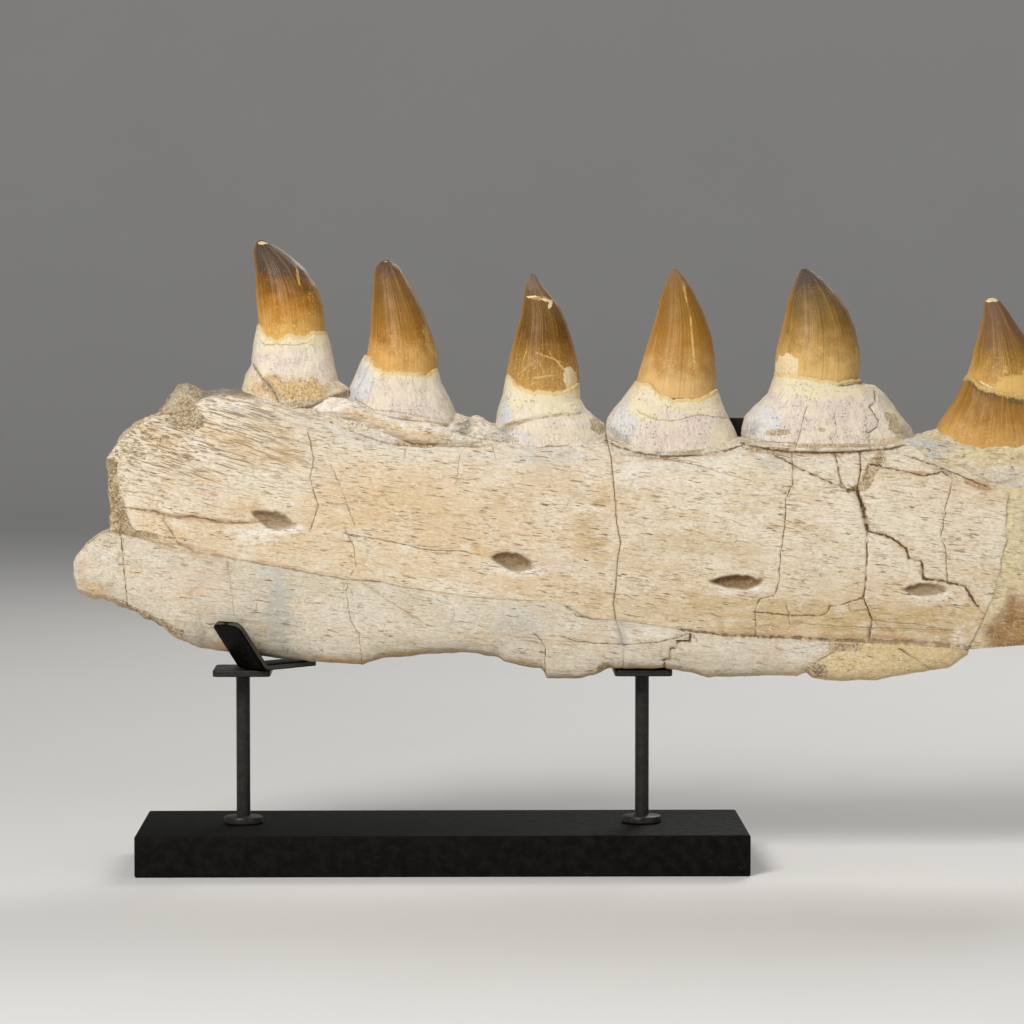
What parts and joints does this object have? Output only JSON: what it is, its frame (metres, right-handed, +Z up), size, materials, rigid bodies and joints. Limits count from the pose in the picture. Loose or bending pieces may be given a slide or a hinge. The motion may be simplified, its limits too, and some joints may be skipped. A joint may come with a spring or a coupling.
{
  "type": "mosasaur lower jaw fossil on display stand",
  "caption": "Fossil right lower jaw of a mosasaur with curved teeth, cracked bone and a dark two-rod display stand, shown from its outer side.",
  "frame": {"origin": "on the floor, below the middle of the whole model's box", "axes": "+Z up, X along the jaw with its rear end at -X and its front end at +X, the outer side of the jaw towards -Y"},
  "size_m": [0.528, 0.1016, 0.315],
  "materials": {
    "bone": "matt, fine lengthwise grain with small dark pits and hairline cracks",
    "splenial_bone": "matt, pale, with a fine net of cracks",
    "enamel": "semi-gloss amber, darker at the tip, with fine lengthwise lines",
    "matrix": "rough sandy rock",
    "stand_steel": "satin black paint, worn along the edges",
    "stand_base_lacquer": "satin black lacquer with fine bright edges"
  },
  "bodies": {
    "root": {"dentary": "bone", "splenial": "splenial_bone", "tooth_1": "enamel", "tooth_2": "enamel", "tooth_3": "enamel", "tooth_4": "enamel", "tooth_5": "enamel", "tooth_6": "enamel", "matrix_lump": "matrix", "stand_base": "stand_base_lacquer", "stand_flange_left": "stand_steel", "stand_flange_right": "stand_steel", "stand_rod_left": "stand_steel", "stand_rod_right": "stand_steel", "stand_saddle_left": "stand_steel", "stand_saddle_right": "stand_steel", "stand_arm_left": "stand_steel", "stand_arm_right": "stand_steel", "stand_tab_left": "stand_steel", "stand_tab_right": "stand_steel", "stand_clip_front": "stand_steel"}
  },
  "joints": []
}
